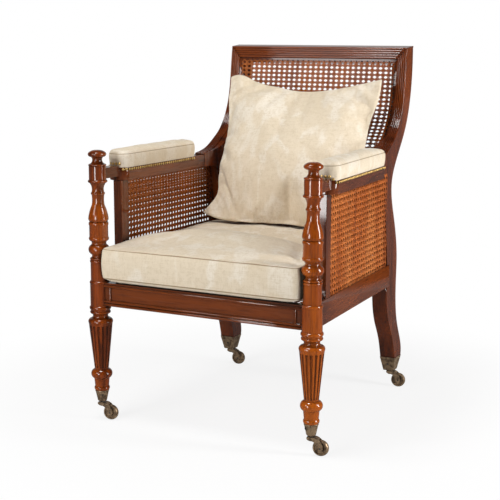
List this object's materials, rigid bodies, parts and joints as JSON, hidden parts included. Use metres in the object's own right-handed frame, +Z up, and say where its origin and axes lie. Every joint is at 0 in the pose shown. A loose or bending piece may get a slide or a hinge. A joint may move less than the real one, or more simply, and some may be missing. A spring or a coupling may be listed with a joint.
{
  "type": "caned armchair",
  "caption": "High-backed caned library armchair on castors, with turned front posts, swept reeded back, padded arms and loose seat and back cushions.",
  "frame": {"origin": "on the floor, in the middle of the overall box", "axes": "+Z up, the chair faces -Y, +X to the right as seen from the front"},
  "size_m": [0.6731, 0.7417, 0.954],
  "materials": {
    "mahogany": "french polished",
    "cane": "stained and waxed",
    "fabric": "woven, mottled cream",
    "brass": "aged",
    "steel": "plain"
  },
  "bodies": {
    "frame": {"front_seat_rail": "mahogany", "rear_seat_rail": "mahogany", "back_lower_rail": "mahogany", "crest_rail": "mahogany", "front_post_left": "mahogany", "front_post_right": "mahogany", "side_seat_rail_left": "mahogany", "side_seat_rail_right": "mahogany", "arm_rail_left": "mahogany", "arm_rail_right": "mahogany", "side_upright_left": "mahogany", "side_upright_right": "mahogany", "back_stile_left": "mahogany", "back_stile_right": "mahogany", "corner_block_front_left": "mahogany", "corner_block_front_right": "mahogany", "corner_block_rear_left": "mahogany", "corner_block_rear_right": "mahogany", "cane_back": "cane", "cane_seat": "cane", "cane_side_left": "cane", "cane_side_right": "cane", "cane_side_inner_left": "cane", "cane_side_inner_right": "cane", "arm_pad_left": "fabric", "arm_pad_right": "fabric", "arm_nails_left": "brass", "arm_nails_right": "brass", "castor_cup_front_left": "brass", "castor_cup_front_right": "brass", "castor_cup_rear_left": "brass", "castor_cup_rear_right": "brass", "corner_block_screws": "steel", "castor_cup_screws": "steel", "castor_pin_front_left": "steel", "castor_pin_front_right": "steel", "castor_pin_rear_left": "steel", "castor_pin_rear_right": "steel"},
    "seat_cushion": {"seat_cushion": "fabric"},
    "back_cushion": {"back_cushion": "fabric"},
    "castor_front_left": {"castor_fork_front_left": "brass", "castor_axle_front_left": "steel"},
    "castor_front_left_wheel": {"castor_wheel_front_left": "brass"},
    "castor_front_right": {"castor_fork_front_right": "brass", "castor_axle_front_right": "steel"},
    "castor_front_right_wheel": {"castor_wheel_front_right": "brass"},
    "castor_rear_left": {"castor_fork_rear_left": "brass", "castor_axle_rear_left": "steel"},
    "castor_rear_left_wheel": {"castor_wheel_rear_left": "brass"},
    "castor_rear_right": {"castor_fork_rear_right": "brass", "castor_axle_rear_right": "steel"},
    "castor_rear_right_wheel": {"castor_wheel_rear_right": "brass"}
  },
  "joints": [
    {"name": "castor_front_left_swivel", "type": "hinge", "parent": "frame", "child": "castor_front_left", "pos_m": [-0.299, -0.34, 0.042], "axis": [0, 0, 1], "continuous": true},
    {"name": "castor_front_left_roll", "type": "hinge", "parent": "castor_front_left", "child": "castor_front_left_wheel", "pos_m": [-0.27536, -0.33583, 0.02], "axis": [-0.1736, 0.9848, 0], "continuous": true},
    {"name": "castor_front_right_swivel", "type": "hinge", "parent": "frame", "child": "castor_front_right", "pos_m": [0.299, -0.34, 0.042], "axis": [0, 0, 1], "continuous": true},
    {"name": "castor_front_right_roll", "type": "hinge", "parent": "castor_front_right", "child": "castor_front_right_wheel", "pos_m": [0.32264, -0.33583, 0.02], "axis": [-0.1736, 0.9848, 0], "continuous": true},
    {"name": "castor_rear_left_swivel", "type": "hinge", "parent": "frame", "child": "castor_rear_left", "pos_m": [-0.257, 0.285, 0.042], "axis": [0, 0, 1], "continuous": true},
    {"name": "castor_rear_left_roll", "type": "hinge", "parent": "castor_rear_left", "child": "castor_rear_left_wheel", "pos_m": [-0.23336, 0.28917, 0.02], "axis": [-0.1736, 0.9848, 0], "continuous": true},
    {"name": "castor_rear_right_swivel", "type": "hinge", "parent": "frame", "child": "castor_rear_right", "pos_m": [0.257, 0.285, 0.042], "axis": [0, 0, 1], "continuous": true},
    {"name": "castor_rear_right_roll", "type": "hinge", "parent": "castor_rear_right", "child": "castor_rear_right_wheel", "pos_m": [0.28064, 0.28917, 0.02], "axis": [-0.1736, 0.9848, 0], "continuous": true},
    {"name": "seat_cushion_lift", "type": "slide", "parent": "frame", "child": "seat_cushion", "axis": [0, 0, 1], "range_m": [0, 0.09]},
    {"name": "back_cushion_lift", "type": "slide", "parent": "seat_cushion", "child": "back_cushion", "axis": [0, 0, 1], "range_m": [0, 0.3]}
  ]
}
